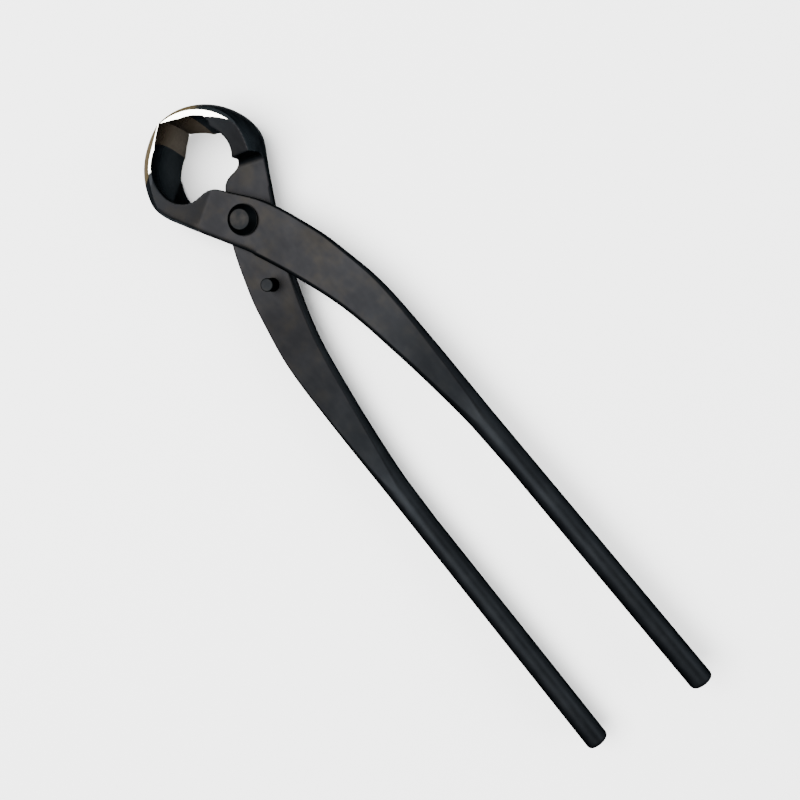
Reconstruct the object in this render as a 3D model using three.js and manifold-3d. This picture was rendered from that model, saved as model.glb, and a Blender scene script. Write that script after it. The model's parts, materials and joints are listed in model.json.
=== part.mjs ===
// Bonsai knob cutter: two forged levers crossed in a half-lap, held by one rivet, with a stop pin.
// Millimetres. X runs across the tool, Y along it with the jaws at +Y, Z through its thickness.
// Both levers are the same forging. The rear one is the front one turned half a turn about Y.
// A lever is worked out with the rivet's axis at x = y = 0 and the meeting plane at z = 0.

import * as THREE from 'three';
import { mergeVertices } from 'three/addons/utils/BufferGeometryUtils.js';
import Module from 'manifold-3d';

const wasm = await Module();
wasm.setup();

// Handles
const handleReach = 232; // pivot to the cut end of a handle
const shankReach = 112; // pivot to where the flat shank has become a round bar
const barDiameter = 8.9;
const barLift = 2.45; // bar axis above the meeting plane
const barStartSpread = 21.7; // bar axis to the tool's centre line, where the bar begins
const barEndSpread = 22.9; // the same at the cut end
const endBreak = 0.5; // chamfer round the cut end

// Lap joint
const lapThickness = 5.3; // meeting plane to the outer face of a lever
const fitGap = 0.3; // clearance wherever two pieces meet
const lapEdgeRise = 3.2; // half height of the oval that rounds the lap's side walls
const convexEdgeDepth = 1; // how far that oval reaches into the lap on the convex side
const concaveEdgeDepth = 1.05; // the same on the concave side, at the neck
const concaveEdgeFull = 4.2; // and where the lap has narrowed to the shank
const concaveEdgeStart = 8; // above the pivot, the concave side begins to round off here
const concaveEdgeEnd = 15; // below the pivot, it is fully rounded from here on
const lapFlatReach = 28; // the meeting face stays flat to here, below the pivot
const pivotEdgeOut = 10.3; // convex edge of the lap, level with the pivot

// Jaws: a hollow ball, and round it the two arcs that meet at the tip of the closed jaws
const hollowRadius = 19.3; // the hollow ball
const hollowCentreUp = 25.2; // pivot to its centre, along the tool
const hollowCentreOut = 1.9; // its centre to the tool's centre line
const flankRadius = 26; // outer arc of a jaw
const flankCentreUp = 21.1; // pivot to the arc's centre, along the tool
const flankCentreOver = 1.35; // the arc's centre lies this far across the centre line
const flankCrown = 28.5; // half height of the oval that the flank follows through its width
const jawHalfWidth = 12.3; // middle plane to the ground side of a jaw
const sideChamferRadius = 20.9; // outer chamfer on the jaw's outer side, where it meets the side
const bevelWidth = 7.5; // ground inner bevel, from the cutting edge back
const edgeLand = 0.15; // thickness left at the cutting edge
const rimInset = 0.25; // the neck's rim stands this far inside the hollow's

// Scoop's closed end, where the hollow runs out into the neck
const scoopEndOut = 15.8;
const scoopEndUp = 18.6;
const scoopFocus = 5; // the round end is a paraboloid with this half-parameter
const scoopLength = 40;
const scoopLean = THREE.MathUtils.degToRad(14.5);

// Shoulder, where the flank turns into the neck
const shoulderRadius = 18;
const shoulderUp = 26.7; // pivot to the shoulder's centre, along the tool
const shoulderOut = 6.4; // its centre to the tool's centre line
const shoulderCrown = 24.6; // half height of the oval that the shoulder follows

// Neck between the lap and the jaw
const neckLean = THREE.MathUtils.degToRad(29); // outer edge of the neck, from the tool's line
const throatRound = 8; // inner corner between the jaw's rim and the lap
const lapCornerRound = 6.4; // outer corner of the lap that shows in the throat
const lapCornerOut = 5.3; // its centre, from the tool's centre line

// Side profile of the neck, measured from the pivot square to the step
const stepLean = THREE.MathUtils.degToRad(26);
const stepFoot = 19; // where the meeting face ends
const stepRound = 3; // concave fillet at the foot of the step
const riseStart = 15.5; // where the outer face begins to climb to the jaw
const neckStart = 11; // where the neck is rooted in the lap
const sideSettle = 35; // where the jaw has its full width

// Slope on the step's side of a jaw, a cone from the ground side down to the top of the step
const slopeRadius = 28; // the arc of its upper edge
const slopeUp = 12.6; // pivot to that arc's centre, along the tool
const slopeOver = 2.9; // the centre lies this far across the centre line
const slopeTilt = THREE.MathUtils.degToRad(22);

// Rivet and stop pin
const rivetShankDiameter = 7;
const rivetHeadDiameter = 11.6; // foot of the tapered head
const rivetCrownDiameter = 7.7; // flat top of the tapered head
const rivetHeadHeight = 3.4;
const rivetHeadFoot = 0.5; // short upright band under the taper
const rivetTailDiameter = 10.4; // hammered dome on the far side
const rivetTailHeight = 1.6;
const pinDiameter = 5;
const pinStand = 6.1; // pin above the meeting plane
const pinBreak = 0.4; // chamfer round the pin's top
const pinOut = 8.6; // pin to the tool's centre line
const pinDown = 23.7; // pin below the pivot, along the tool

// How finely curves are divided, as counts
const capSteps = 12;
const roundSteps = 64;
const wallSteps = 12;
const cornerSteps = 6;
const shankSteps = 28;
const curveSteps = 24;

// One overrun serves every cut that runs past what it cuts
const overrun = 3;
const edgeTuck = 0.5; // how far a joined body starts inside the one that it grows from

// Worked out from the sizes above
const barRadius = barDiameter / 2;
const meetFace = fitGap / 2;
const throatFloor = hollowCentreUp - throatRound;
const crestReach = flankCentreUp + Math.sqrt(flankRadius ** 2 - (flankCentreOver + meetFace) ** 2);
const rimRadius = Math.sqrt(hollowRadius ** 2 - jawHalfWidth ** 2);

// Edge points of the shank below the pivot. Reach is a share of shankReach, out is a share
// of how far the same edge of the round bar lies from the centre line.
const convexShares = [
  { reach: 0.179, out: 0.704 },
  { reach: 0.268, out: 0.808 },
  { reach: 0.446, out: 0.954 },
  { reach: 0.66, out: 0.993 },
  { reach: 1, out: 1 },
];
const concaveShares = [
  { reach: 0.268, out: 0.095 },
  { reach: 0.446, out: 0.462 },
  { reach: 0.66, out: 0.709 },
  { reach: 0.848, out: 0.873 },
  { reach: 1, out: 0.97 },
  { reach: 1.16, out: 1.005 },
];
const concaveJoinShare = 0.085; // the neck's straight outer edge runs down to here
const flankShare = 0.25; // the neck's body runs this far down the lap's convex edge

function asSolid(geometry) {
  const bare = geometry.index ? geometry.toNonIndexed() : geometry.clone();
  bare.deleteAttribute('normal');
  bare.deleteAttribute('uv');
  const merged = mergeVertices(bare);
  const corners = merged.index.array;
  const kept = [];
  for (let i = 0; i < corners.length; i += 3) {
    const [a, b, c] = corners.slice(i, i + 3);
    if (a !== b && b !== c && c !== a) {
      kept.push(a, b, c);
    }
  }
  return new wasm.Manifold(new wasm.Mesh({
    numProp: 3,
    vertProperties: new Float32Array(merged.attributes.position.array),
    triVerts: new Uint32Array(kept),
  }));
}

function asGeometry(solid) {
  const mesh = solid.getMesh();
  const geometry = new THREE.BufferGeometry();
  geometry.setAttribute('position', new THREE.BufferAttribute(mesh.vertProperties, 3));
  geometry.setIndex(new THREE.BufferAttribute(mesh.triVerts, 1));
  geometry.computeVertexNormals();
  return geometry;
}

// A solid skin over rings that hold the same number of points, closed by a fan at each end
function loft(rings) {
  const count = rings[0].length;
  const corners = [];
  rings.slice(1).forEach((ring, i) => {
    const last = rings[i];
    for (let k = 0; k < count; k += 1) {
      const n = (k + 1) % count;
      corners.push(last[k], ring[n], ring[k], last[k], last[n], ring[n]);
    }
  });
  const first = rings[0];
  const end = rings[rings.length - 1];
  for (let k = 1; k < count - 1; k += 1) {
    corners.push(first[0], first[k + 1], first[k]);
    corners.push(end[0], end[k], end[k + 1]);
  }
  return new THREE.BufferGeometry().setFromPoints(corners);
}

// A smooth function of y through edge points, with finite-difference slopes
function smoothEdge(points) {
  const slope = points.map((p, i) => {
    const before = points[Math.max(i - 1, 0)];
    const after = points[Math.min(i + 1, points.length - 1)];
    return (after.x - before.x) / (after.y - before.y);
  });
  return (y) => {
    let i = 0;
    while (i < points.length - 2 && y < points[i + 1].y) {
      i += 1;
    }
    const a = points[i];
    const b = points[i + 1];
    const run = b.y - a.y;
    const t = (y - a.y) / run;
    const ease = t * t * (3 - 2 * t);
    const lift = slope[i] * t * (1 - t) ** 2 - slope[i + 1] * t * t * (1 - t);
    return a.x + (b.x - a.x) * ease + lift * run;
  };
}

// Bar axis below the shank, as a distance from the centre line
function barSpread(y) {
  const along = (-y - shankReach) / (handleReach - shankReach);
  return barStartSpread + (barEndSpread - barStartSpread) * along;
}

// Outer edge of the neck: straight at the neck's lean, from where it leaves the shoulder
function neckEdge(y) {
  const tangentUp = shoulderUp - shoulderRadius * Math.sin(neckLean);
  const tangentOut = -shoulderOut - shoulderRadius * Math.cos(neckLean);
  return tangentOut + (tangentUp - y) * Math.tan(neckLean);
}

function edgePoints(shares, barSide) {
  return shares.map((share) => new THREE.Vector2(
    share.out * (barStartSpread + barSide * barRadius),
    -share.reach * shankReach,
  ));
}

const joinDown = -concaveJoinShare * shankReach;
const joinPoint = new THREE.Vector2(neckEdge(joinDown), joinDown);
const neckPoint = new THREE.Vector2(neckEdge(joinDown / 2), joinDown / 2);
const concaveCurve = smoothEdge([neckPoint, joinPoint, ...edgePoints(concaveShares, -1)]);

// The convex edge leaves the lap's round corner at a tangent
const lapCorner = new THREE.Vector2(-lapCornerOut, throatFloor - lapCornerRound);
const pivotPoint = new THREE.Vector2(pivotEdgeOut, 0);
const cornerSpan = pivotPoint.clone().sub(lapCorner);
const cornerAngle = cornerSpan.angle() + Math.acos(lapCornerRound / cornerSpan.length());
const cornerPoint = new THREE.Vector2(lapCornerRound, 0).rotateAround(
  new THREE.Vector2(),
  cornerAngle,
).add(lapCorner);
const convexCurve = smoothEdge([cornerPoint, pivotPoint, ...edgePoints(convexShares, 1)]);

function concaveEdge(y) {
  if (y < -shankReach) {
    return barSpread(y) - barRadius;
  }
  return y > joinDown ? neckEdge(y) : concaveCurve(y);
}

function convexEdge(y) {
  if (y < -shankReach) {
    return barSpread(y) + barRadius;
  }
  if (y > cornerPoint.y) {
    return lapCorner.x + Math.sqrt(Math.max(lapCornerRound ** 2 - (y - lapCorner.y) ** 2, 0));
  }
  return convexCurve(y);
}

// One cross-section of lap, shank or bar, with oval sides that grow to a full circle
function crossSection(y, inset = 0) {
  const toBar = THREE.MathUtils.smoothstep(-y, 0, shankReach);
  const toRound = THREE.MathUtils.smoothstep(-y, -concaveEdgeStart, concaveEdgeEnd);
  const toRise = THREE.MathUtils.smoothstep(-y, lapFlatReach, shankReach);
  const concaveLap = concaveEdgeDepth + (concaveEdgeFull - concaveEdgeDepth) * toRound;
  const convexDepth = convexEdgeDepth + (barRadius - convexEdgeDepth) * toBar;
  const concaveDepth = concaveLap + (barRadius - concaveLap) * toBar;
  const rise = lapEdgeRise + (barRadius - lapEdgeRise) * toRise;
  const lapLift = (meetFace + lapThickness) / 2;
  const lift = lapLift + (barLift - lapLift) * toRise;
  const turn = Math.PI / 2 - Math.PI / (2 * wallSteps + 2);
  const ring = [];
  for (const [edge, depth, facing] of [
    [convexEdge(y), convexDepth, 1],
    [concaveEdge(y), concaveDepth, -1],
  ]) {
    for (let k = 0; k <= wallSteps; k += 1) {
      const angle = turn * (2 * k / wallSteps - 1) * facing;
      const x = edge - facing * (depth - (depth - inset) * Math.cos(angle));
      ring.push(new THREE.Vector3(x, y, lift + (rise - inset) * Math.sin(angle)));
    }
  }
  return ring;
}

// Lap, shank and bar in one run of cross-sections, from inside the neck to the cut end
function shankBody() {
  const start = cornerPoint.y - edgeTuck;
  const stations = [];
  for (let k = 0; k <= shankSteps; k += 1) {
    stations.push(start - (start + shankReach) * k / shankSteps);
  }
  stations.push(endBreak - handleReach);
  const rings = stations.map((y) => crossSection(y));
  rings.push(crossSection(-handleReach, endBreak));
  return asSolid(loft(rings));
}

// Side view of the shank: flat top and bottom that run out on the round bar
function shankProfile() {
  const low = -handleReach - overrun;
  const runOut = barRadius + barLift;
  const shape = new THREE.Shape();
  const middle = (lapFlatReach + shankReach) / 2;
  shape.moveTo(neckStart, meetFace);
  shape.lineTo(neckStart, lapThickness);
  shape.lineTo(-lapFlatReach, lapThickness);
  shape.quadraticCurveTo(-middle, lapThickness, -shankReach, runOut);
  shape.lineTo(low, runOut + overrun);
  shape.lineTo(low, -barRadius - overrun);
  shape.lineTo(-shankReach, barLift - barRadius);
  shape.quadraticCurveTo(-middle, meetFace, -lapFlatReach, meetFace);
  const width = 2 * (barEndSpread + barDiameter);
  const profile = new THREE.ExtrudeGeometry(shape, {
    depth: width,
    bevelEnabled: false,
    curveSegments: wallSteps,
  });
  profile.translate(0, 0, -width / 2);
  const along = new THREE.Vector3(0, 1, 0);
  const up = new THREE.Vector3(0, 0, 1);
  const across = along.clone().cross(up);
  profile.applyMatrix4(new THREE.Matrix4().makeBasis(along, up, across));
  return asSolid(profile);
}

// Flat outline of jaw and neck. Its outer side runs past the ball, which trims it.
function jawOutline() {
  const far = flankRadius + overrun;
  const rim = rimRadius - rimInset;
  const rimStart = Math.acos((hollowCentreOut - meetFace) / rim);
  const roundOut = throatRound - hollowCentreOut - rim;
  const shape = new THREE.Shape();
  shape.moveTo(-meetFace, hollowCentreUp + far);
  shape.lineTo(-meetFace, hollowCentreUp + rim * Math.sin(rimStart));
  shape.absarc(-hollowCentreOut, hollowCentreUp, rim, rimStart, Math.PI, false);
  shape.absarc(roundOut, hollowCentreUp, throatRound, Math.PI, Math.PI * 3 / 2, false);
  shape.absarc(lapCorner.x, lapCorner.y, lapCornerRound, Math.PI / 2, cornerAngle, true);
  const inside = pivotPoint.clone().sub(new THREE.Vector2(convexEdgeDepth, 0));
  const flank = cornerPoint.clone().lerp(inside, flankShare);
  shape.lineTo(flank.x, flank.y);
  const root = new THREE.Vector2(0, neckStart).rotateAround(new THREE.Vector2(), stepLean);
  const lowest = root.y - (far + root.x) * Math.tan(stepLean);
  shape.lineTo(-far, lowest);
  shape.lineTo(-far, hollowCentreUp + far);
  return shape;
}

function jawBlank() {
  const halfWidth = jawHalfWidth + overrun;
  const flat = new THREE.ExtrudeGeometry(jawOutline(), {
    depth: 2 * halfWidth,
    bevelEnabled: false,
    curveSegments: curveSteps,
  });
  flat.translate(0, 0, -halfWidth);
  return asSolid(flat);
}

// The flank: an oval through the jaw's width, spun, with the chamfer on the outer side
function jawFlank() {
  const side = jawHalfWidth + overrun;
  const profile = [new THREE.Vector2(0, -side)];
  for (let k = 0; k <= curveSteps; k += 1) {
    const z = side * (2 * k / curveSteps - 1);
    const oval = flankRadius * Math.sqrt(1 - (z / flankCrown) ** 2);
    profile.push(new THREE.Vector2(Math.min(oval, sideChamferRadius + jawHalfWidth - z), z));
  }
  profile.push(new THREE.Vector2(0, side));
  const flank = new THREE.LatheGeometry(profile, roundSteps * 2);
  flank.rotateX(Math.PI / 2);
  flank.translate(flankCentreOver, flankCentreUp, 0);
  return asSolid(flank);
}

// The shoulder, a ball that runs on as a barrel along the neck
function jawShoulder() {
  const barrelLength = shoulderUp + shoulderRadius;
  const body = new THREE.CapsuleGeometry(shoulderRadius, barrelLength, capSteps, roundSteps);
  body.scale(1, 1, shoulderCrown / shoulderRadius);
  body.translate(0, -barrelLength / 2, 0);
  body.rotateZ(neckLean);
  body.translate(-shoulderOut, shoulderUp, 0);
  const across = new THREE.BoxGeometry(4 * flankRadius, 4 * flankRadius, 2 * flankRadius);
  across.translate(0, shoulderUp + 2 * flankRadius, 0);
  return asSolid(body).add(asSolid(across));
}

// Side view of the neck: the step towards the other lever, and the climb on the outer face
function neckProfile() {
  const low = -overrun;
  const high = crestReach + flankRadius;
  const topOfStep = stepFoot + stepRound;
  const shape = new THREE.Shape();
  shape.moveTo(low, meetFace);
  shape.lineTo(stepFoot, meetFace);
  shape.absarc(stepFoot, meetFace - stepRound, stepRound, Math.PI / 2, 0, true);
  shape.lineTo(topOfStep, -jawHalfWidth);
  shape.lineTo(high, -jawHalfWidth);
  shape.lineTo(high, jawHalfWidth);
  shape.lineTo(sideSettle, jawHalfWidth);
  shape.lineTo(riseStart, lapThickness);
  shape.lineTo(low, lapThickness);
  const width = 2 * (crestReach + overrun);
  const profile = new THREE.ExtrudeGeometry(shape, {
    depth: width,
    bevelEnabled: false,
    curveSegments: wallSteps,
  });
  profile.translate(0, 0, -width / 2);
  const along = new THREE.Vector3(-Math.sin(stepLean), Math.cos(stepLean), 0);
  const up = new THREE.Vector3(0, 0, 1);
  const across = along.clone().cross(up);
  profile.applyMatrix4(new THREE.Matrix4().makeBasis(along, up, across));
  return asSolid(profile);
}

// The hollow of the scoop: a ball inside the ball, closed towards the neck by a paraboloid
function scoopHollow() {
  const ball = new THREE.SphereGeometry(hollowRadius, roundSteps, roundSteps / 2);
  ball.rotateX(Math.PI / 2);
  ball.translate(-hollowCentreOut, hollowCentreUp, 0);
  const mouth = Math.sqrt(2 * scoopFocus * scoopLength);
  const profile = [];
  for (let k = 0; k <= curveSteps; k += 1) {
    const share = k / curveSteps;
    profile.push(new THREE.Vector2(mouth * share, scoopLength * share ** 2));
  }
  profile.push(new THREE.Vector2(0, scoopLength));
  const roundEnd = new THREE.LatheGeometry(profile, roundSteps);
  roundEnd.rotateZ(-scoopLean);
  roundEnd.translate(-scoopEndOut, scoopEndUp, 0);
  return asSolid(ball).intersect(asSolid(roundEnd));
}

// What lies outside the slope on the step's side of the jaw
function slopeCut() {
  const height = slopeRadius * Math.tan(slopeTilt) + overrun;
  const cone = new THREE.ConeGeometry(height / Math.tan(slopeTilt), height, roundSteps * 2);
  cone.rotateX(Math.PI / 2);
  cone.translate(slopeOver, slopeUp, height / 2 - overrun - jawHalfWidth);
  return asSolid(cone);
}

// The ground bevel runs from the outer arc at the cutting edge back to the hollow
function edgeBevel() {
  const backRadius = Math.sqrt(hollowRadius ** 2 - (bevelWidth - hollowCentreOut) ** 2);
  const past = overrun / bevelWidth;
  const rings = [1 + past, -past].map((along) => {
    const ring = [];
    for (let k = 0; k < roundSteps * 2; k += 1) {
      const angle = Math.PI * k / roundSteps;
      const edge = new THREE.Vector3(
        0,
        flankCentreUp + (flankRadius - edgeLand) * Math.cos(angle),
        (flankCrown - edgeLand) * Math.sin(angle),
      );
      const back = new THREE.Vector3(
        -bevelWidth,
        hollowCentreUp + backRadius * Math.cos(angle),
        backRadius * Math.sin(angle),
      );
      ring.push(edge.lerp(back, along));
    }
    return ring;
  });
  const upper = new THREE.BoxGeometry(4 * flankRadius, 2 * flankRadius, 4 * flankRadius);
  upper.translate(0, hollowCentreUp + rimRadius / 2 + flankRadius, 0);
  return asSolid(loft(rings)).intersect(asSolid(upper));
}

function upright(diameter, bottom, top) {
  const cylinder = new THREE.CylinderGeometry(
    diameter / 2,
    diameter / 2,
    top - bottom,
    roundSteps / 2,
  );
  cylinder.rotateX(Math.PI / 2);
  cylinder.translate(0, 0, (top + bottom) / 2);
  return cylinder;
}

function forgedLever() {
  const blank = jawBlank().intersect(jawFlank()).intersect(jawShoulder());
  const neck = blank.intersect(neckProfile()).subtract(slopeCut());
  const shank = shankBody().intersect(shankProfile());
  const rivetHole = upright(
    rivetShankDiameter + 2 * fitGap,
    -lapThickness,
    lapThickness + overrun,
  );
  const scoop = neck.subtract(scoopHollow()).subtract(edgeBevel());
  return scoop.add(shank).subtract(asSolid(rivetHole));
}

// Half a turn about Y makes the rear lever from the front one
function turned(solid) {
  const geometry = asGeometry(solid);
  geometry.rotateY(Math.PI);
  return asSolid(geometry);
}

function rearLever() {
  const pinHole = upright(pinDiameter + 2 * fitGap, -lapThickness - overrun, overrun);
  pinHole.translate(-pinOut, -pinDown, 0);
  return turned(forgedLever()).subtract(asSolid(pinHole));
}

function spun(profile) {
  const round = new THREE.LatheGeometry(profile, roundSteps / 2);
  round.rotateX(Math.PI / 2);
  return round;
}

// Tapered head in front, shank through both levers, hammered dome behind
function pivotRivet() {
  const seat = lapThickness + fitGap;
  const shankRadius = rivetShankDiameter / 2;
  const tailRadius = rivetTailDiameter / 2;
  const profile = [];
  for (let k = 0; k <= cornerSteps; k += 1) {
    const angle = Math.PI / 2 * (1 - k / cornerSteps);
    const drop = rivetTailHeight * Math.sin(angle);
    profile.push(new THREE.Vector2(tailRadius * Math.cos(angle), -seat - drop));
  }
  profile.push(
    new THREE.Vector2(shankRadius, -seat),
    new THREE.Vector2(shankRadius, seat),
    new THREE.Vector2(rivetHeadDiameter / 2, seat),
    new THREE.Vector2(rivetHeadDiameter / 2, seat + rivetHeadFoot),
    new THREE.Vector2(rivetCrownDiameter / 2, seat + rivetHeadHeight),
    new THREE.Vector2(0, seat + rivetHeadHeight),
  );
  return spun(profile);
}

function stopPin() {
  const radius = pinDiameter / 2;
  const pin = spun([
    new THREE.Vector2(0, -lapThickness),
    new THREE.Vector2(radius, -lapThickness),
    new THREE.Vector2(radius, pinStand - pinBreak),
    new THREE.Vector2(radius - pinBreak, pinStand),
    new THREE.Vector2(0, pinStand),
  ]);
  pin.translate(-pinOut, -pinDown, 0);
  return pin;
}

// Forged steel blackened in an oxide bath, with the faces rubbed to a soft grey sheen
function blackForgedSteel() {
  return new THREE.MeshStandardMaterial({ color: 0x26282b, roughness: 0.46, metalness: 0.75 });
}

// Turned steel with the same black finish, a little smoother
function blackTurnedSteel() {
  return new THREE.MeshStandardMaterial({ color: 0x2b2d30, roughness: 0.38, metalness: 0.8 });
}

function named(name, geometry, material) {
  const mesh = new THREE.Mesh(geometry, material);
  mesh.name = name;
  return mesh;
}

// The tool lies on its jaws' ground sides, centred over the middle of its length
const cutter = new THREE.Group();
cutter.position.set(0, (handleReach - crestReach) / 2, jawHalfWidth);
cutter.add(
  named('front_lever', asGeometry(forgedLever()), blackForgedSteel()),
  named('rear_lever', asGeometry(rearLever()), blackForgedSteel()),
  named('pivot_rivet', pivotRivet(), blackTurnedSteel()),
  named('stop_pin', stopPin(), blackTurnedSteel()),
);

export default cutter;
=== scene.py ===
import json
import math
from collections import namedtuple

import bmesh
import bpy
from mathutils import Matrix, Vector


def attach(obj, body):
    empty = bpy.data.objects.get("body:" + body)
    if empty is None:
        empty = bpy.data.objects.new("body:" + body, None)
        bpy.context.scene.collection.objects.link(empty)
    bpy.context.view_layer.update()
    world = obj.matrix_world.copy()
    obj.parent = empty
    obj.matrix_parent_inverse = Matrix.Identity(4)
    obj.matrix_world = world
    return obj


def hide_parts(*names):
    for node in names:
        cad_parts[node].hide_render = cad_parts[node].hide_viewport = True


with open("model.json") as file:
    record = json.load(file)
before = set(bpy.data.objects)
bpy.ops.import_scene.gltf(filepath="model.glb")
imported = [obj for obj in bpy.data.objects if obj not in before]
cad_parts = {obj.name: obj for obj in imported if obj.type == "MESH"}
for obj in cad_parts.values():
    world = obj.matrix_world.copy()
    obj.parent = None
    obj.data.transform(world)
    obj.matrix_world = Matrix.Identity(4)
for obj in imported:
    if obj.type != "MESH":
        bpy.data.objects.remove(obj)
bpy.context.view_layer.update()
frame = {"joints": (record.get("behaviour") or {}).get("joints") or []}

MM = 0.001
PIVOT = Vector(frame["joints"][0]["pos_m"])

# Sizes of the tool in millimetres, in a lever's own frame: the rivet's axis is x = y = 0, the
# jaws are at +y, and the meeting plane of the two levers is z = 0.

# Handle, shank and lap
HANDLE_REACH = 232
SHANK_REACH = 112
BAR_RADIUS = 4.45
BAR_LIFT = 2.45
BAR_START = 21.7
BAR_END = 22.9
LAP_TOP = 5.3
MEET_FACE = 0.15
LAP_FLAT_REACH = 28
LAP_EDGE_RISE = 3.2
LAP_OUT = 10.3
CONVEX_DEPTH = 1.0
CONCAVE_DEPTH = 1.05
CONCAVE_FULL = 4.2
CONCAVE_FROM = -8
CONCAVE_TO = 15

# Jaw: its width, the ball hollow inside, and the blunt plug that ends the hollow
JAW_SIDE = 12.3
SIDE_STOCK = 0.9
TIP_STOCK = 1.2
BLANK_DEPTH = 36
HOLLOW_RADIUS = 19.3
HOLLOW_UP = 25.2
HOLLOW_OUT = 1.9
PLUG_LEAN = math.radians(14.5)
PLUG_OUT = 15.8
PLUG_UP = 18.6
PLUG_NOSE = 5
PLUG_DEPTH = 40

# Shoulder outside, throat and corner inside, and the neck with its step and slopes
SHOULDER_RADIUS = 18
SHOULDER_UP = 26.7
SHOULDER_OUT = 6.4
SHOULDER_CROWN = 24.6
THROAT_ROUND = 8
CORNER_ROUND = 6.4
CORNER_OUT = 5.3
NECK_LEAN = math.radians(29)
STEP_LEAN = math.radians(26)
STEP_OVER = 11
STEP_FOOT = 19
STEP_ROUND = 3
RISE_START = 15.5
RISE_SLOPE = 0.359
SLOPE_RADIUS = 28
SLOPE_UP = 12.6
SLOPE_OVER = 2.9
SLOPE_TILT = math.radians(22)

# What is ground and drilled
CHAMFER_UP = 21.1
CHAMFER_OVER = 1.35
CHAMFER_RADIUS = 20.9
CHAMFER_TURN = math.radians(121)
SMALL_CHAMFER_RADIUS = 23.1
SMALL_CHAMFER_TURN = math.radians(60)
BEVEL_WIDTH = 7.5
BEVEL_FROM = 7.4
EDGE_LAND = 0.12
PARTING_GAP = 0.03
RIVET_HOLE = 3.8
PIN_HOLE = 2.65
PIN_OVER = -8.6
PIN_UP = -23.7

# The remesh that melts the corners: the cuts after it fail with some other voxels, such as 0.38
VOXEL = 0.36
MELT_ROUNDS = 6
RUB_ROUNDS = 80
RUB_FROM = -12
RUB_TO = 33
RUB_WIDTH = 4
RUB_RISE = 1.5
THINNED_TO = 0.9

# The two jaws are forged by hand and differ a little: the outside's radius, its half height, its
# centre over and up, the throat's radius, and how far the hollow's centre lies off the middle.
Jaw = namedtuple("Jaw", "radius crown over up rim sunk")
FRONT_JAW = Jaw(26, 28.5, 1.35, 21.1, 14.62, 0)
REAR_JAW = Jaw(24.06, 27.55, -0.37, 23.0, 13.2, 1.5)

# The shank's two edges: shares of the way to the bar, and of the bar's distance from the middle
CONVEX_OUT = ((0.179, 0.704), (0.268, 0.808), (0.446, 0.954), (0.66, 0.993), (1, 1))
CONCAVE_OUT = (
    (0.268, 0.095), (0.446, 0.462), (0.66, 0.709), (0.848, 0.873), (1, 0.97), (1.16, 1.005),
)


def mm(*values):
    return Vector(values) * MM


# Modelling helpers: each one does what a hand does with the mouse


def only(*objects):
    bpy.ops.object.select_all(action="DESELECT")
    for item in objects:
        item.select_set(True)
    bpy.context.view_layer.objects.active = objects[-1]


def named(name):
    made = bpy.context.object
    made.name = name
    made.data.name = name
    return made


def edit(piece):
    only(piece)
    bpy.ops.object.mode_set(mode="EDIT")
    bpy.ops.mesh.select_mode(type="VERT")


def leave_edit():
    bpy.ops.object.mode_set(mode="OBJECT")


def pick(piece, kind, test):
    """In edit mode, selects the verts, edges or faces that pass a test of centre and normal."""
    bpy.ops.mesh.select_mode(type={"verts": "VERT", "edges": "EDGE", "faces": "FACE"}[kind])
    bpy.ops.mesh.select_all(action="DESELECT")
    mesh = bmesh.from_edit_mesh(piece.data)
    for item in getattr(mesh, kind):
        if kind == "verts":
            centre, normal = item.co, item.normal
        elif kind == "faces":
            centre, normal = item.calc_center_median(), item.normal
        else:
            centre = (item.verts[0].co + item.verts[1].co) / 2
            normal = item.verts[1].co - item.verts[0].co
        item.select = test(centre / MM, normal)
    mesh.select_flush_mode()
    bmesh.update_edit_mesh(piece.data)


def finish_modifier(piece, kind, **settings):
    only(piece)
    modifier = piece.modifiers.new(kind.title(), kind)
    for key, value in settings.items():
        setattr(modifier, key, value)
    bpy.ops.object.modifier_apply(modifier=modifier.name)


def cut(piece, tool, how):
    """Joins the tool to the piece, takes it away, or keeps what they share."""
    finish_modifier(
        piece,
        "BOOLEAN",
        operation=how,
        object=tool,
        solver="EXACT",
        material_mode="TRANSFER",
    )
    bpy.data.objects.remove(tool)


def settle(piece):
    """Puts the object at the origin, unturned, with its place in its mesh."""
    only(piece)
    bpy.ops.object.transform_apply(location=True, rotation=True, scale=True)


def outward(piece):
    edit(piece)
    bpy.ops.mesh.select_all(action="SELECT")
    bpy.ops.mesh.remove_doubles(threshold=0.002 * MM)
    bpy.ops.mesh.normals_make_consistent(inside=False)
    leave_edit()


def trace(name, points, depth=None):
    """Draws an outline point by point, fills it, and pulls it along depth."""
    bpy.ops.object.select_all(action="DESELECT")
    bpy.ops.mesh.primitive_plane_add(size=MM, location=points[0] * MM)
    drawn = named(name)
    settle(drawn)
    edit(drawn)
    bpy.ops.mesh.select_all(action="SELECT")
    bpy.ops.mesh.merge(type="CENTER")
    for before, after in zip(points, points[1:]):
        step = (after - before) * MM
        bpy.ops.mesh.extrude_vertices_move(TRANSFORM_OT_translate={"value": step})
    if depth is not None:
        bpy.ops.mesh.select_all(action="SELECT")
        bpy.ops.mesh.edge_face_add()
        bpy.ops.mesh.extrude_region_move(TRANSFORM_OT_translate={"value": depth * MM})
    leave_edit()
    if depth is not None:
        outward(drawn)
    return drawn


def arc(centre, radius, start, end, steps):
    """Points on a flat arc, angles in degrees."""
    points = []
    for k in range(steps + 1):
        angle = math.radians(start + (end - start) * k / steps)
        points.append((centre[0] + radius * math.cos(angle), centre[1] + radius * math.sin(angle)))
    return points


def eased(ends, pulls, steps):
    """Points on an S-shaped sweep between two ends, each pulled towards its own handle."""
    points = []
    for k in range(steps + 1):
        t = k / steps
        weights = ((1 - t) ** 3, 3 * t * (1 - t) ** 2, 3 * t * t * (1 - t), t ** 3)
        corners = (ends[0], pulls[0], pulls[1], ends[1])
        points.append(tuple(sum(w * c[i] for w, c in zip(weights, corners)) for i in (0, 1)))
    return points


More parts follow.
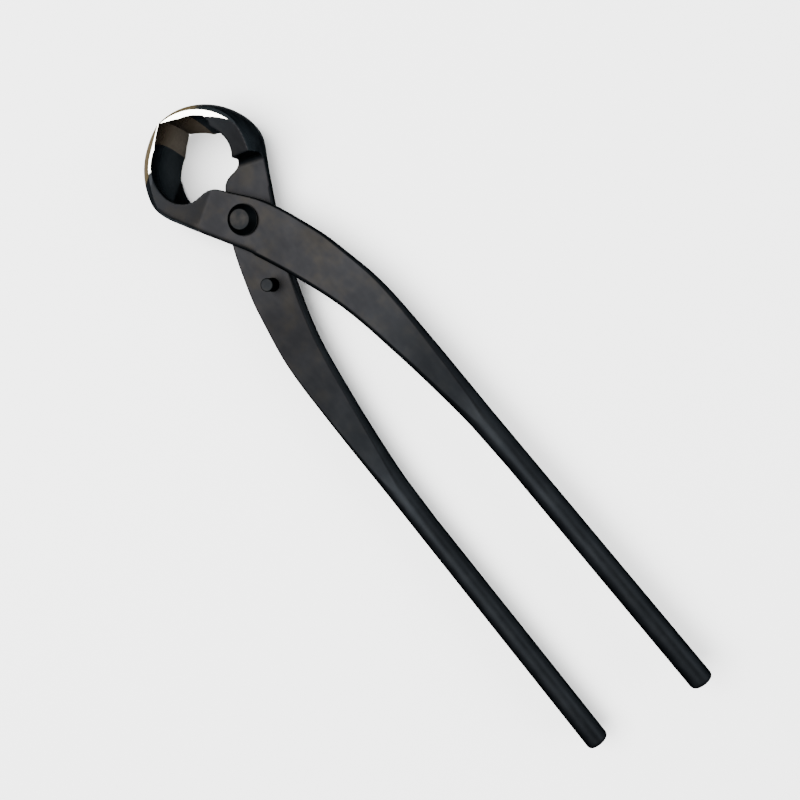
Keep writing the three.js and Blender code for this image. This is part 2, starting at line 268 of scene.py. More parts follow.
def box(name, low, high):
    centre = (Vector(low) + Vector(high)) / 2
    size = Vector(high) - Vector(low)
    bpy.ops.object.select_all(action="DESELECT")
    bpy.ops.mesh.primitive_cube_add(size=MM, location=centre * MM, scale=size)
    made = named(name)
    settle(made)
    return made


def oval(name, radius, crown, place, lean=0.0):
    """A ball about place, drawn out to crown along z, with its poles along the leaning y axis."""
    bpy.ops.object.select_all(action="DESELECT")
    bpy.ops.mesh.primitive_uv_sphere_add(
        segments=144,
        ring_count=72,
        radius=MM,
        location=mm(*place),
        rotation=(-math.pi / 2, 0, lean),
        scale=(radius, crown, radius),
    )
    made = named(name)
    settle(made)
    return made


def paint(piece, material):
    piece.data.materials.clear()
    piece.data.materials.append(material)
    return piece


# Edges of the lever in plan, worked out as distances from the tool's centre line


def smooth_edge(points):
    slope = []
    for i in range(len(points)):
        before = points[max(i - 1, 0)]
        after = points[min(i + 1, len(points) - 1)]
        slope.append((after[0] - before[0]) / (after[1] - before[1]))

    def out(y):
        i = 0
        while i < len(points) - 2 and y < points[i + 1][1]:
            i += 1
        a, b = points[i], points[i + 1]
        run = b[1] - a[1]
        t = (y - a[1]) / run
        ease = t * t * (3 - 2 * t)
        lift = slope[i] * t * (1 - t) ** 2 - slope[i + 1] * t * t * (1 - t)
        return a[0] + (b[0] - a[0]) * ease + lift * run

    return out


def neck_edge(y):
    tangent_up = SHOULDER_UP - SHOULDER_RADIUS * math.sin(NECK_LEAN)
    tangent_out = -SHOULDER_OUT - SHOULDER_RADIUS * math.cos(NECK_LEAN)
    return tangent_out + (tangent_up - y) * math.tan(NECK_LEAN)


def shank_points(shares, side):
    return [(out * (BAR_START + side * BAR_RADIUS), -reach * SHANK_REACH) for reach, out in shares]


join_y = -0.085 * SHANK_REACH
concave_curve = smooth_edge(
    [(neck_edge(join_y / 2), join_y / 2), (neck_edge(join_y), join_y)] + shank_points(CONCAVE_OUT, -1)
)
corner_centre = Vector((-CORNER_OUT, HOLLOW_UP - THROAT_ROUND - CORNER_ROUND))
beside_pivot = Vector((LAP_OUT, 0))
span = beside_pivot - corner_centre
corner_turn = math.atan2(span.y, span.x) + math.acos(CORNER_ROUND / span.length)
corner_point = corner_centre + CORNER_ROUND * Vector((math.cos(corner_turn), math.sin(corner_turn)))
convex_curve = smooth_edge([tuple(corner_point), tuple(beside_pivot)] + shank_points(CONVEX_OUT, 1))


def bar_out(y):
    return BAR_START + (BAR_END - BAR_START) * (-y - SHANK_REACH) / (HANDLE_REACH - SHANK_REACH)


def concave_edge(y):
    if y < -SHANK_REACH:
        return bar_out(y) - BAR_RADIUS
    return neck_edge(y) if y > join_y else concave_curve(y)


def convex_edge(y):
    if y < -SHANK_REACH:
        return bar_out(y) + BAR_RADIUS
    if y > corner_point.y:
        room = max(CORNER_ROUND ** 2 - (y - corner_centre.y) ** 2, 0)
        return corner_centre.x + math.sqrt(room)
    return convex_curve(y)


def smoothstep(value, low, high):
    t = min(max((value - low) / (high - low), 0), 1)
    return t * t * (3 - 2 * t)


def section(y):
    """Edges, depths of the two rounded sides, their half height, and the middle's height, at y."""
    to_bar = smoothstep(-y, 0, SHANK_REACH)
    to_rise = smoothstep(-y, LAP_FLAT_REACH, SHANK_REACH)
    widening = smoothstep(-y, CONCAVE_FROM, CONCAVE_TO)
    concave_lap = CONCAVE_DEPTH + (CONCAVE_FULL - CONCAVE_DEPTH) * widening
    convex_depth = CONVEX_DEPTH + (BAR_RADIUS - CONVEX_DEPTH) * to_bar
    concave_depth = concave_lap + (BAR_RADIUS - concave_lap) * to_bar
    rise = LAP_EDGE_RISE + (BAR_RADIUS - LAP_EDGE_RISE) * to_rise
    lap_middle = (MEET_FACE + LAP_TOP) / 2
    lift = lap_middle + (BAR_LIFT - lap_middle) * to_rise
    right = (convex_edge(y) - convex_depth, convex_depth)
    left = (concave_edge(y) + concave_depth, concave_depth)
    return right, left, rise, lift


def shank():
    """Lap, shank and bar, pulled out ring by ring from one end to the other."""
    steps = 60
    start = corner_point.y - 0.5
    places = [start - (start + SHANK_REACH) * k / steps for k in range(steps + 1)]
    # The bar is straight, so a few rings do for it, down to where its end starts to round
    end_rings = ((0.25, 0.75), (0.6, 0.35), (1.1, 0.1))
    end_round = 1.2
    places += [-130, -150, -190, -HANDLE_REACH + end_round]
    right, left, rise, lift = section(places[0])
    ring = []
    for (centre, depth), side in ((right, 1), (left, -1)):
        for x, z in arc((0, 0), 1, -88 * side, 88 * side, 22):
            ring.append(Vector((centre + side * depth * x, places[0], lift + rise * z)))
    bar = trace("bar", ring)
    edit(bar)
    bpy.ops.mesh.select_all(action="SELECT")
    bpy.ops.mesh.edge_face_add()
    reached = places[0]
    for y in places[1:]:
        new_right, new_left, new_rise, new_lift = section(y)
        drop = mm(0, y - reached, 0)
        bpy.ops.mesh.extrude_region_move(TRANSFORM_OT_translate={"value": drop})
        reached = y
        shape = bmesh.from_edit_mesh(bar.data)
        chosen = [v for v in shape.verts if v.select]
        middle = (right[0] + left[0]) / 2 * MM
        halves = (
            ([v for v in chosen if v.co.x > middle], right, new_right),
            ([v for v in chosen if v.co.x <= middle], left, new_left),
        )
        for half, was, now in halves:
            for v in half:
                v.co.x = now[0] * MM + (v.co.x - was[0] * MM) * now[1] / was[1]
                v.co.z = new_lift * MM + (v.co.z - lift * MM) * new_rise / rise
        bmesh.update_edit_mesh(bar.data)
        right, left, rise, lift = new_right, new_left, new_rise, new_lift
    # The cut end gets a round break, then closes
    for inset, drop in end_rings:
        bpy.ops.mesh.extrude_region_move(TRANSFORM_OT_translate={"value": mm(0, -drop, 0)})
        middle = mm((right[0] + left[0]) / 2, reached, lift)
        shrink = 1 - inset / BAR_RADIUS
        bpy.ops.transform.resize(value=(shrink, 1, shrink), center_override=middle)
    leave_edit()
    outward(bar)
    run_out = BAR_RADIUS + BAR_LIFT
    middle = (LAP_FLAT_REACH + SHANK_REACH) / 2
    above, low = 13, -HANDLE_REACH - 3

    def bowed(a, pull, b):
        return eased((a, b), (
            (a[0] + (pull[0] - a[0]) * 2 / 3, a[1] + (pull[1] - a[1]) * 2 / 3),
            (b[0] + (pull[0] - b[0]) * 2 / 3, b[1] + (pull[1] - b[1]) * 2 / 3),
        ), 30)

    side = [(above, MEET_FACE), (above, LAP_TOP)]
    side += bowed((-LAP_FLAT_REACH, LAP_TOP), (-middle, LAP_TOP), (-SHANK_REACH, run_out))
    side += [(low, run_out + 3), (low, -BAR_RADIUS - 3)]
    bar_foot = (-SHANK_REACH, BAR_LIFT - BAR_RADIUS)
    side += bowed(bar_foot, (-middle, MEET_FACE), (-LAP_FLAT_REACH, MEET_FACE))
    width = 60
    flats = trace("flats", [Vector((-width / 2, y, z)) for y, z in side], Vector((width, 0, 0)))
    cut(bar, flats, "INTERSECT")
    return bar


def scoop_end():
    """A blunt round-ended plug that closes the hollow towards the neck."""
    foot = Vector((-PLUG_OUT, PLUG_UP, 0))
    along = Vector((math.sin(PLUG_LEAN), math.cos(PLUG_LEAN), 0))
    across = Vector((math.cos(PLUG_LEAN), -math.sin(PLUG_LEAN), 0))
    mouth = math.sqrt(2 * PLUG_NOSE * PLUG_DEPTH)
    profile = [foot + across * mouth * k / 30 + along * PLUG_DEPTH * (k / 30) ** 2 for k in range(31)]
    profile.append(foot + along * PLUG_DEPTH)
    plug = trace("plug", profile)
    edit(plug)
    bpy.ops.mesh.select_all(action="SELECT")
    bpy.ops.mesh.spin(steps=96, angle=math.tau, center=foot * MM, axis=along)
    leave_edit()
    outward(plug)
    return plug


def forging(jaw):
    """The lever as it comes from the hammer, with stock left where it will be ground."""
    radius, crown, over, up, rim, sunk = jaw
    far = radius + 5
    side = JAW_SIDE + SIDE_STOCK
    round_out = THROAT_ROUND - HOLLOW_OUT - rim
    rim_start = math.degrees(math.acos((HOLLOW_OUT + TIP_STOCK) / rim))
    plan = [(TIP_STOCK, HOLLOW_UP + far)]
    plan += arc((-HOLLOW_OUT, HOLLOW_UP), rim, rim_start, 180, 40)
    plan += arc((round_out, HOLLOW_UP), THROAT_ROUND, 180, 270, 20)[1:]
    plan += arc(corner_centre, CORNER_ROUND, 90, math.degrees(corner_turn), 14)
    flank_end = corner_point.lerp(beside_pivot - Vector((CONVEX_DEPTH, 0)), 0.25)
    plan.append(tuple(flank_end))
    root = Vector((-STEP_OVER * math.sin(STEP_LEAN), STEP_OVER * math.cos(STEP_LEAN)))
    plan.append((-far, root.y - (far + root.x) * math.tan(STEP_LEAN)))
    plan.append((-far, HOLLOW_UP + far))
    low = -BLANK_DEPTH / 2
    blank = trace("forging", [Vector((x, y, low)) for x, y in plan], Vector((0, 0, BLANK_DEPTH)))

    # Outside, a flattened ball, then the shoulder that runs on along the neck
    cut(blank, oval("flank", radius, crown, (over, up, 0)), "INTERSECT")
    middle = Vector((-SHOULDER_OUT, SHOULDER_UP, 0))
    skin = oval("skin", SHOULDER_RADIUS, SHOULDER_CROWN, middle, NECK_LEAN)
    down = Vector((math.sin(NECK_LEAN), -math.cos(NECK_LEAN), 0))
    edit(skin)
    bpy.ops.mesh.select_all(action="SELECT")
    bpy.ops.mesh.bisect(plane_co=middle * MM, plane_no=down, clear_outer=True, threshold=1e-7)
    pick(skin, "edges", lambda c, n: max(abs((c - middle).dot(down)), abs(n.dot(down)) / MM / 10) < 0.01)
    reach = 48
    bpy.ops.mesh.extrude_region_move(TRANSFORM_OT_translate={"value": down * reach * MM})
    bpy.ops.mesh.edge_face_add()
    leave_edit()
    outward(skin)

    # Above its middle the shoulder takes nothing away
    cut(skin, box("across", (-70, SHOULDER_UP, -30), (70, 110, 30)), "UNION")
    cut(blank, skin, "INTERSECT")

    # Side view of the neck: the step towards the other lever, and the climb on the outer face
    top = STEP_FOOT + STEP_ROUND
    climb = RISE_START + (side - LAP_TOP) / RISE_SLOPE
    foot, beyond = -3, 80
    view = [(foot, MEET_FACE)]
    view += arc((STEP_FOOT, MEET_FACE - STEP_ROUND), STEP_ROUND, 90, 0, 12)
    view += [(top, -side), (beyond, -side), (beyond, side), (climb, side)]
    view += [(RISE_START, LAP_TOP), (foot, LAP_TOP)]
    along = Vector((-math.sin(STEP_LEAN), math.cos(STEP_LEAN), 0))
    across = Vector((math.cos(STEP_LEAN), math.sin(STEP_LEAN), 0))
    width = 104
    start = -width / 2 * across
    points = [start + along * v + Vector((0, 0, z)) for v, z in view]
    cut(blank, trace("side_view", points, across * width), "INTERSECT")

    # The step's side of the jaw slopes down to the top of the step, as part of a wide cone
    below = 3
    height = SLOPE_RADIUS * math.tan(SLOPE_TILT) + below
    bpy.ops.object.select_all(action="DESELECT")
    bpy.ops.mesh.primitive_cone_add(
        vertices=240,
        radius1=height / math.tan(SLOPE_TILT) * MM,
        radius2=0,
        depth=height * MM,
        location=mm(SLOPE_OVER, SLOPE_UP, height / 2 - below - JAW_SIDE),
    )
    slope = named("slope")
    settle(slope)
    cut(blank, slope, "DIFFERENCE")

    cut(blank, shank(), "UNION")
    hollow = oval("hollow", HOLLOW_RADIUS, HOLLOW_RADIUS, (-HOLLOW_OUT, HOLLOW_UP, -sunk))
    cut(hollow, scoop_end(), "INTERSECT")
    cut(blank, hollow, "DIFFERENCE")
    return blank


def soften(piece, voxel, rounds):
    """Melts the hard corners a little, as a forging and its blast finish do."""
    only(piece)
    piece.data.remesh_voxel_size = voxel * MM
    piece.data.remesh_voxel_adaptivity = 0
    bpy.ops.object.voxel_remesh()
    finish_modifier(piece, "SMOOTH", factor=0.5, iterations=rounds)


def rub(piece, test, rounds):
    """Rubs down the part of the piece that passes the test."""
    edit(piece)
    pick(piece, "verts", test)
    bpy.ops.mesh.vertices_smooth(factor=0.5, repeat=rounds)
    leave_edit()


def thin(piece, share):
    """Leaves a share of the triangles, and deletes a stray sliver that hangs on by one edge only."""
    finish_modifier(piece, "DECIMATE", ratio=share)
    edit(piece)
    bpy.ops.mesh.select_mode(type="FACE")
    bpy.ops.mesh.select_all(action="DESELECT")
    mesh = bmesh.from_edit_mesh(piece.data)
    for face in mesh.faces:
        face.select = sum(len(edge.link_faces) == 1 for edge in face.edges) == 2
    bmesh.update_edit_mesh(piece.data)
    bpy.ops.mesh.delete(type="FACE")
    leave_edit()


def chamfer(piece, radius, side, turn, flank):
    """Takes the corner off between the outside and one side of the jaw, at 45 degrees. It follows
    an arc, and runs out straight towards the tip from the angle given by turn."""
    low, high, run = 7, JAW_SIDE + 2, 30
    corners = (
        (radius + JAW_SIDE - high, high * side),
        (radius + JAW_SIDE - low, low * side),
        (radius + JAW_SIDE, high * side),
    )
    middle = Vector((CHAMFER_OVER, CHAMFER_UP, 0))
    spoke = Vector((math.cos(turn), math.sin(turn), 0))
    tangent = Vector((math.sin(turn), -math.cos(turn), 0))
    ring = trace("ring", [middle + spoke * r + Vector((0, 0, z)) for r, z in corners], tangent * run)
    edit(ring)
    pick(ring, "faces", lambda c, n: abs((c - middle).dot(tangent)) < 0.01)
    bpy.ops.mesh.spin(steps=160, angle=math.radians(-200), center=middle * MM, axis=(0, 0, 1))
    leave_edit()
    outward(ring)
    cut(piece, paint(ring, flank), "DIFFERENCE")


def grind(piece, jaw, flat, bevel):
    """The crisp cuts, each with its own finish: jaw sides, parting face, bevel."""
    sides = box("sides", (-60, -260, -JAW_SIDE), (60, 60, JAW_SIDE))
    cut(piece, paint(sides, flat), "INTERSECT")
    parting = box("parting", (-PARTING_GAP / 2, HOLLOW_UP, -20), (20, 60, 20))
    cut(piece, paint(parting, bevel), "DIFFERENCE")

    # The bevel runs from an oval at the cutting edge back to a circle inside the hollow, and its
    # cutter runs on past both
    past = 3
    back = math.sqrt(HOLLOW_RADIUS ** 2 - (BEVEL_WIDTH - HOLLOW_OUT) ** 2)
    edge_oval = (jaw.up, jaw.radius - EDGE_LAND, jaw.crown - EDGE_LAND, 0)
    back_oval = (HOLLOW_UP, back, back, -jaw.sunk)
    bpy.ops.object.select_all(action="DESELECT")
    bpy.ops.mesh.primitive_cylinder_add(
        vertices=240,
        radius=MM,
        depth=(BEVEL_WIDTH + 2 * past) * MM,
        location=mm(-BEVEL_WIDTH / 2, 0, 0),
        rotation=(0, math.pi / 2, 0),
    )
    cone = named("cone")
    settle(cone)
    edit(cone)
    for share in (-past / BEVEL_WIDTH, 1 + past / BEVEL_WIDTH):
        rise, wide, high, lift = (a + (b - a) * share for a, b in zip(edge_oval, back_oval))
        place = -BEVEL_WIDTH * share
        pick(cone, "verts", lambda c, n: abs(c.x - place) < 0.1)
        bpy.ops.transform.resize(value=(1, wide, high), center_override=mm(place, 0, 0))
        bpy.ops.transform.translate(value=mm(0, rise, lift))
    bpy.ops.mesh.select_all(action="SELECT")
    bpy.ops.mesh.bisect(
        plane_co=mm(0, HOLLOW_UP + BEVEL_FROM, 0),
        plane_no=(0, 1, 0),
        clear_inner=True,
        use_fill=True,
    )
    leave_edit()
    outward(cone)
    cut(piece, paint(cone, bevel), "DIFFERENCE")


def drill(piece, radius, x, y):
    bpy.ops.object.select_all(action="DESELECT")
    bpy.ops.mesh.primitive_cylinder_add(
        vertices=96, radius=radius * MM, depth=40 * MM, location=mm(x, y, 0)
    )
    bit = named("bit")
    settle(bit)
    cut(piece, paint(bit, forged_black), "DIFFERENCE")


# Materials. The black is rubbed, smeared or left as scale, and its flat faces get a lighter grey that is
# partly painted sheen; each lever's flats turn darker from this far below the pivot, in millimetres.

RUBBED_SHEEN = "#141415"
WARM = "#161514"
SCALE = "#121416"
FRONT_FLATS_DARKEN_AT = 72
REAR_FLATS_DARKEN_AT = 27


def linear(code):
    parts = [int(code[i:i + 2], 16) / 255 for i in (1, 3, 5)]
    return tuple(p / 12.92 if p <= 0.04045 else ((p + 0.055) / 1.055) ** 2.4 for p in parts) + (1,)


def node(material, kind, inputs=None, **settings):
    """Adds a node; an input is a value or another node's output."""
    tree = material.node_tree
    made = tree.nodes.new(kind)
    for key, value in settings.items():
        setattr(made, key, value)
    for key, value in (inputs or {}).items():
        if isinstance(value, bpy.types.NodeSocket):
            tree.links.new(value, made.inputs[key])
        else:
            made.inputs[key].default_value = value
    return made


def new_material(name):
    material = bpy.data.materials.new(name)
    material.use_nodes = True
    material.node_tree.nodes.clear()
    return material


def finished(material, shader):
    node(material, "ShaderNodeOutputMaterial", {"Surface": shader})
    return material


def spread(material, value, low, high, start=0.0, end=1.0):
    """Turns low to high into start to end, with soft ends."""
    made = node(
        material,
        "ShaderNodeMapRange",
        {"Value": value, "From Min": low, "From Max": high, "To Min": start, "To Max": end},
        interpolation_type="SMOOTHSTEP",
    )
    return made.outputs[0]


def times(material, a, b):
    return node(material, "ShaderNodeMath", {0: a, 1: b}, operation="MULTIPLY").outputs[0]


def blended(material, share, a, b):
    made = node(material, "ShaderNodeMix", {"Factor": share, "A": a, "B": b}, data_type="RGBA")
    return made.outputs["Result"]


def patches(material, place, size, detail=3.0, stretch=(1, 1, 1)):
    """Noise whose patches are about size millimetres across, drawn out by stretch."""
    scale = tuple(1 / s for s in stretch)
    drawn = node(material, "ShaderNodeMapping", {"Vector": place, "Scale": scale})
    noise = node(
        material,
        "ShaderNodeTexNoise",
        {"Vector": drawn.outputs[0], "Scale": 1 / (size * MM), "Detail": detail, "Roughness": 0.55},
    )
    return noise.outputs["Fac"]


def black_oxide(material, rubbed_sheen_code, warm_code, scale_code, darken_at):
    """Blackened forged steel. Faces that lie flat get a soft grey, partly a rubbed finish and partly
    painted sheen, with faint brownish smears from handling, and are darker on the shank from the given
    distance below the pivot down; edges, walls and bars keep the near-black scale, partly as painted
    shade."""
    where = node(material, "ShaderNodeTexCoord")
    place = where.outputs["Object"]
    up = node(material, "ShaderNodeSeparateXYZ", {"Vector": where.outputs["Normal"]})
    level = node(material, "ShaderNodeMath", {0: up.outputs["Z"]}, operation="ABSOLUTE")
    along = node(material, "ShaderNodeSeparateXYZ", {"Vector": place}).outputs["Y"]
    # Faces that lie flat, turned up to the overhead light, get the lighter grey: partly a rubbed finish,
    # partly painted sheen. Walls keep the scale colour, partly as painted shade.
    flat = spread(material, level.outputs[0], 0.8, 0.975)
    # The flats' lighter grey falls off from 25 to 125 mm below the pivot.
    lap = spread(material, along, PIVOT.y - 125 * MM, PIVOT.y - 25 * MM, 0.14, 1.0)
    # Flats on the jaw, 20 to 31 mm above the pivot, get less of the lighter grey: partly painted shade
    # on the tilted jaw sides, partly their own finish.
    jaw = spread(material, along, PIVOT.y + 20 * MM, PIVOT.y + 31 * MM, 1.0, 0.45)
    cloud = patches(material, place, 14)
    smear = patches(material, place, 2.5, 5.0, (1, 2.5, 1))
    stain = spread(material, patches(material, place, 7, 4.0), 0.42, 0.7)
    rubbed_sheen = blended(material, stain, linear(rubbed_sheen_code), linear(warm_code))
    wear_and_sheen = times(material, flat, times(material, lap, jaw))
    colour = blended(material, wear_and_sheen, linear(scale_code), rubbed_sheen)
    shade = times(
        material,
        spread(material, cloud, 0.3, 0.7, 0.86, 1.16),
        spread(material, smear, 0.35, 0.75, 0.94, 1.14),
    )
    # Flats get darker from the given distance below the pivot, and less so again towards the bar.
    fade = spread(material, along, PIVOT.y - (darken_at + 14) * MM, PIVOT.y - (darken_at - 14) * MM, -0.42, 0.0)
    bar = spread(material, along, PIVOT.y - 118 * MM, PIVOT.y - 98 * MM)
    fade = times(material, fade, bar)
    dull = node(material, "ShaderNodeMath", {0: flat, 1: fade, 2: 1.0}, operation="MULTIPLY_ADD")
    shade = times(material, shade, dull.outputs[0])
    tint = node(material, "ShaderNodeVectorMath", {0: colour, "Scale": shade}, operation="SCALE")
    grain = patches(material, place, 0.45, 2.0)
    bump = node(
        material,
        "ShaderNodeBump",
        {"Height": grain, "Strength": 0.14, "Distance": 0.05 * MM},
    )
    skin = node(
        material,
        "ShaderNodeBsdfPrincipled",
        {
            "Base Color": tint.outputs[0],
            "Metallic": 1.0,
            "Roughness": spread(material, smear, 0.3, 0.7, 0.42, 0.52),
            "Specular Tint": linear("#6e7073"),
            "Normal": bump.outputs[0],
        },
    )
    return skin.outputs[0]


def ground_steel(material, code, rim_code, roughness, streak, stretch):
    """Bare steel off the grinding wheel: pale, with fine streaks that run the way it was fed.
    Seen along its surface it is as bright as rim_code."""
    place = node(material, "ShaderNodeTexCoord").outputs["Object"]
    lines = patches(material, place, streak, 3.0, stretch)
    shade = spread(material, lines, 0.3, 0.7, 0.86, 1.08)
    steel = {0: linear(code)[:3], "Scale": shade}
    tint = node(material, "ShaderNodeVectorMath", steel, operation="SCALE")
    bump = node(
        material,
        "ShaderNodeBump",
        {"Height": lines, "Strength": 0.1, "Distance": 0.02 * MM},
    )
    skin = node(
        material,
        "ShaderNodeBsdfPrincipled",
        {
            "Base Color": tint.outputs[0],
            "Metallic": 1.0,
            "Roughness": roughness,
            "Specular Tint": linear(rim_code),
            "Normal": bump.outputs[0],
        },
    )
    return skin.outputs[0]


def ground_above(material, black, bare, up, soft):
    """Bare steel beyond a distance up from the pivot, with a slightly ragged edge to the black."""
    place = node(material, "ShaderNodeTexCoord").outputs["Object"]
    along = node(material, "ShaderNodeSeparateXYZ", {"Vector": place}).outputs["Y"]
    ragged = times(material, patches(material, place, 1.2), soft * MM)
    height = node(material, "ShaderNodeMath", {0: along, 1: ragged}, operation="ADD").outputs[0]
    middle = PIVOT.y + (up + soft / 2) * MM
    share = spread(material, height, middle - soft / 2 * MM, middle + soft / 2 * MM)
    mixed = node(material, "ShaderNodeMixShader", {0: share, 1: black, 2: bare})
    return mixed.outputs[0]


def plain_black(name, rubbed_sheen_code, scale_code, darken_at=FRONT_FLATS_DARKEN_AT):
    material = new_material(name)
    return finished(material, black_oxide(material, rubbed_sheen_code, WARM, scale_code, darken_at))


def jaw_steel(name, code, rim_code, roughness, scale_code, up, soft):
    """The jaw's outside, where the wheel has taken the black away towards the cutting edge."""
    material = new_material(name)
    black = black_oxide(material, RUBBED_SHEEN, WARM, scale_code, FRONT_FLATS_DARKEN_AT)
    bare = ground_steel(material, code, rim_code, roughness, 0.3, (1, 1, 6))
    return finished(material, ground_above(material, black, bare, up, soft))


# Forged steel, blackened in hot salts: soft grey on flat faces, partly rubbed and partly painted sheen,
# near-black elsewhere
forged_black = plain_black("black_oxide_forged_steel", RUBBED_SHEEN, SCALE)
# The rear lever's flats turn darker nearer the pivot than the front's.
rear_black = plain_black("black_oxide_forged_steel_of_rear_lever", RUBBED_SHEEN, SCALE, REAR_FLATS_DARKEN_AT)

# Turned steel with the same black, handled less: a shade darker than the forgings
turned_black = plain_black("black_oxide_turned_steel", "#0d0e0f", "#07090a")

# Inside the scoop the scale is untouched: the darkest, faintly blue part of the tool
scoop_black = plain_black("black_oxide_in_the_scoop", "#121517", "#171a1c")

# The jaws' sides, fresh from the wheel: nearly white under a soft light
front_side = jaw_steel("ground_side_of_front_jaw", "#e6e3d8", "#ffffff", 0.3, SCALE, 34.2, 0.5)
rear_side = jaw_steel("ground_side_of_rear_jaw", "#f0ede0", "#ffffff", 0.3, SCALE, 20, 0.5)

# The outer surface near the edge: satin, a little warmer and darker than the sides
SATIN = ("#504c44", "#9f998e", 0.38, "#272a2c")
front_flank = jaw_steel("satin_outside_of_front_jaw", *SATIN, 33.6, 0.8)
rear_flank = jaw_steel("satin_outside_of_rear_jaw", *SATIN, 39.3, 3.0)

# The bevel behind the cutting edge: brownish grey, with fine streaks across it
bevel_steel = new_material("ground_bevel_steel")
finished(bevel_steel, ground_steel(bevel_steel, "#393530", "#8a857c", 0.42, 0.25, (5, 5, 1)))


def dress(piece, material, test):
    """Gives the blackened faces that pass a test of centre and normal another finish."""
    piece.data.materials.append(material)
    slot = len(piece.data.materials) - 1
    for face in piece.data.polygons:
        if face.material_index == 0 and test(face.center / MM, face.normal):
            face.material_index = slot


def in_scoop(centre, normal):
    """The hollow's own faces, from its closed end up."""
    inward = Vector((-HOLLOW_OUT, HOLLOW_UP, 0)) - centre
    faces_in = normal.dot(inward.normalized()) > 0.3
    return inward.length < HOLLOW_RADIUS + 1.5 and centre.y > 17 and faces_in


def on_flank(centre, normal):
    """The jaw's outside, seen from its middle, without the flat sides."""
    out = centre - Vector((CHAMFER_OVER, CHAMFER_UP, 0))
    faces_out = normal.dot(out.normalized()) > 0.3 and abs(normal.z) < 0.8
    return centre.y > 8 and out.length > 20 and faces_out


def on_neck_edge(centre, normal):
    """The outer corner of the neck's concave edge, which is rubbed rounder than the rest."""
    beside = centre.x < concave_edge(centre.y) + RUB_WIDTH
    return RUB_FROM < centre.y < RUB_TO and beside and centre.z > RUB_RISE


def worked(name, jaw, black, flat, flank):
    """One lever, from the forging to the finished steel."""
    lever = forging(jaw)
    lever.name = name
    soften(lever, VOXEL, MELT_ROUNDS)
    rub(lever, on_neck_edge, RUB_ROUNDS)
    paint(lever, black)
    grind(lever, jaw, flat, bevel_steel)
    chamfer(lever, CHAMFER_RADIUS, 1, CHAMFER_TURN, flank)
    chamfer(lever, SMALL_CHAMFER_RADIUS, -1, SMALL_CHAMFER_TURN, flank)
    drill(lever, RIVET_HOLE, 0, 0)
    dress(lever, scoop_black, in_scoop)
    dress(lever, flank, on_flank)
    return lever


front = worked("front_lever_forged", FRONT_JAW, forged_black, front_side, front_flank)
rear = worked("rear_lever_forged", REAR_JAW, rear_black, rear_side, rear_flank)
rear.rotation_euler = (0, math.pi, 0)
settle(rear)
drill(rear, PIN_HOLE, PIN_OVER, PIN_UP)

for lever in (front, rear):
    lever.location = PIVOT
    settle(lever)
    thin(lever, THINNED_TO)
    only(lever)
    bpy.ops.object.shade_smooth_by_angle(angle=math.radians(32))


def turned_piece(name, profile, x, y):
    """A round piece turned about z from half its outline, given as (radius, height)."""
    rail = trace(name, [Vector((r, 0, z)) for r, z in profile])
    edit(rail)
    bpy.ops.mesh.select_all(action="SELECT")
    bpy.ops.mesh.spin(steps=128, angle=math.tau, center=(0, 0, 0), axis=(0, 0, 1))
    leave_edit()
    outward(rail)
    rail.location = PIVOT + mm(x, y, 0)
    settle(rail)
    only(rail)
    bpy.ops.object.shade_smooth_by_angle(angle=math.radians(28))
    return rail


def rivet_outline():
    """Raised boss, head that slopes down from it, body, and a low domed clench underneath."""
    boss, boss_top = 3.55, 9.0
    head, head_top = 5.5, 6.2
    round_break = 0.3
    body, lap_face = 3.5, 5.6
    clench, clench_drop = 5.2, 1.6
    outline = [(0, boss_top), (boss, boss_top)]
    outline += arc((boss, boss_top - round_break), round_break, 90, 12, 5)[1:]
    outline += [(head + 0.12, head_top + 0.15)]
    outline += arc((head, head_top), round_break, 20, 0, 3)[1:]
    outline += [(head + round_break, lap_face), (body, lap_face), (body, -lap_face)]
    dome = arc((0, 0), clench, 0, -82.5, 11)
    outline += [(r, -lap_face + z * clench_drop / clench) for r, z in dome]
    outline += [(0, -lap_face - clench_drop)]
    return outline


def dowel_outline():
    """Rounded top that stands proud, plain body, and a broken lower edge."""
    radius, top, foot = 2.5, 6.1, -5.3
    top_round, foot_break = 0.45, 0.3
    outline = [(0, top), (radius - top_round, top)]
    outline += arc((radius - top_round, top - top_round), top_round, 90, 0, 6)[1:]
    outline += [(radius, foot + foot_break), (radius - foot_break, foot), (0, foot)]
    return outline


rivet = turned_piece("rivet_turned", rivet_outline(), 0, 0)
pin = turned_piece("stop_pin_turned", dowel_outline(), PIN_OVER, PIN_UP)

for piece in (rivet, pin):
    paint(piece, turned_black)

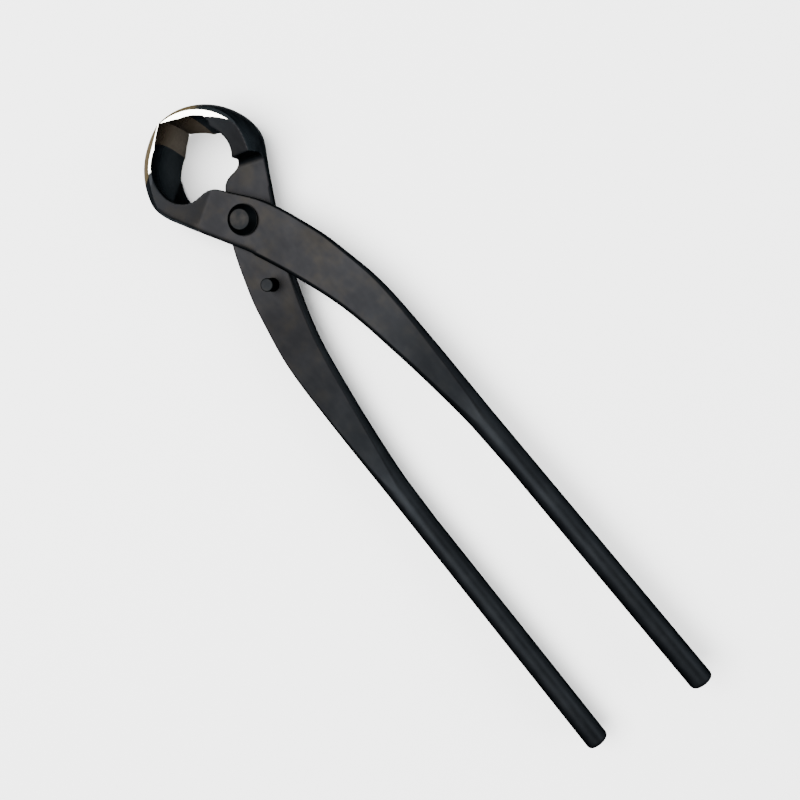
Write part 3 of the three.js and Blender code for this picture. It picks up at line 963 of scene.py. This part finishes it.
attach(front, "front")
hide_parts("front_lever")
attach(rear, "rear")
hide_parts("rear_lever")
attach(rivet, "rear")
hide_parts("pivot_rivet")
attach(pin, "rear")
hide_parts("stop_pin")


# Studio

bpy.ops.object.select_all(action="DESELECT")
bpy.ops.mesh.primitive_plane_add(size=8, location=(0, 0, -0.0005))
floor = named("studio_floor")
settle(floor)
paper = new_material("white_paper_sweep")
matt = node(paper, "ShaderNodeBsdfPrincipled", {"Base Color": linear("#f4f4f3"), "Roughness": 0.9})
node(paper, "ShaderNodeOutputMaterial", {"Surface": matt.outputs[0]})
floor.data.materials.append(paper)


def soft_box(name, place, aim, size, power):
    light = bpy.data.lights.new(name, "AREA")
    light.shape = "RECTANGLE"
    light.size, light.size_y = size
    light.energy = power
    lamp = bpy.data.objects.new(name, light)
    lamp.location = place
    lamp.rotation_euler = (Vector(aim) - Vector(place)).to_track_quat("-Z", "Y").to_euler()
    bpy.context.scene.collection.objects.link(lamp)


soft_box("overhead_box", (-0.25, 0.35, 1.3), (0, 0, 0), (1.3, 1.3), 86)
soft_box("side_box", (1.1, -0.5, 0.7), (0, 0, 0), (0.9, 0.7), 15)

world = bpy.data.worlds.new("studio_air")
world.use_nodes = True
world.node_tree.nodes["Background"].inputs["Color"].default_value = linear("#f2f4f6")
world.node_tree.nodes["Background"].inputs["Strength"].default_value = 1.35
bpy.context.scene.world = world

# The camera's place from the pivot, its lens, and its right, up and back directions
CAMERA_PLACE = (86.57, -98.97, 311.68)
LENS = 39.57
CAMERA_TURN = Matrix((
    (0.74218, -0.63119, -0.22632),
    (0.61671, 0.77509, -0.13918),
    (0.26327, -0.03628, 0.96406),
)).transposed()

camera_data = bpy.data.cameras.new("camera")
camera_data.sensor_width = 36
camera_data.lens = LENS
camera_data.clip_start = 0.01
camera = bpy.data.objects.new("camera", camera_data)
bpy.context.scene.collection.objects.link(camera)
camera.matrix_world = Matrix.Translation(PIVOT + mm(*CAMERA_PLACE)) @ CAMERA_TURN.to_4x4()
bpy.context.scene.camera = camera
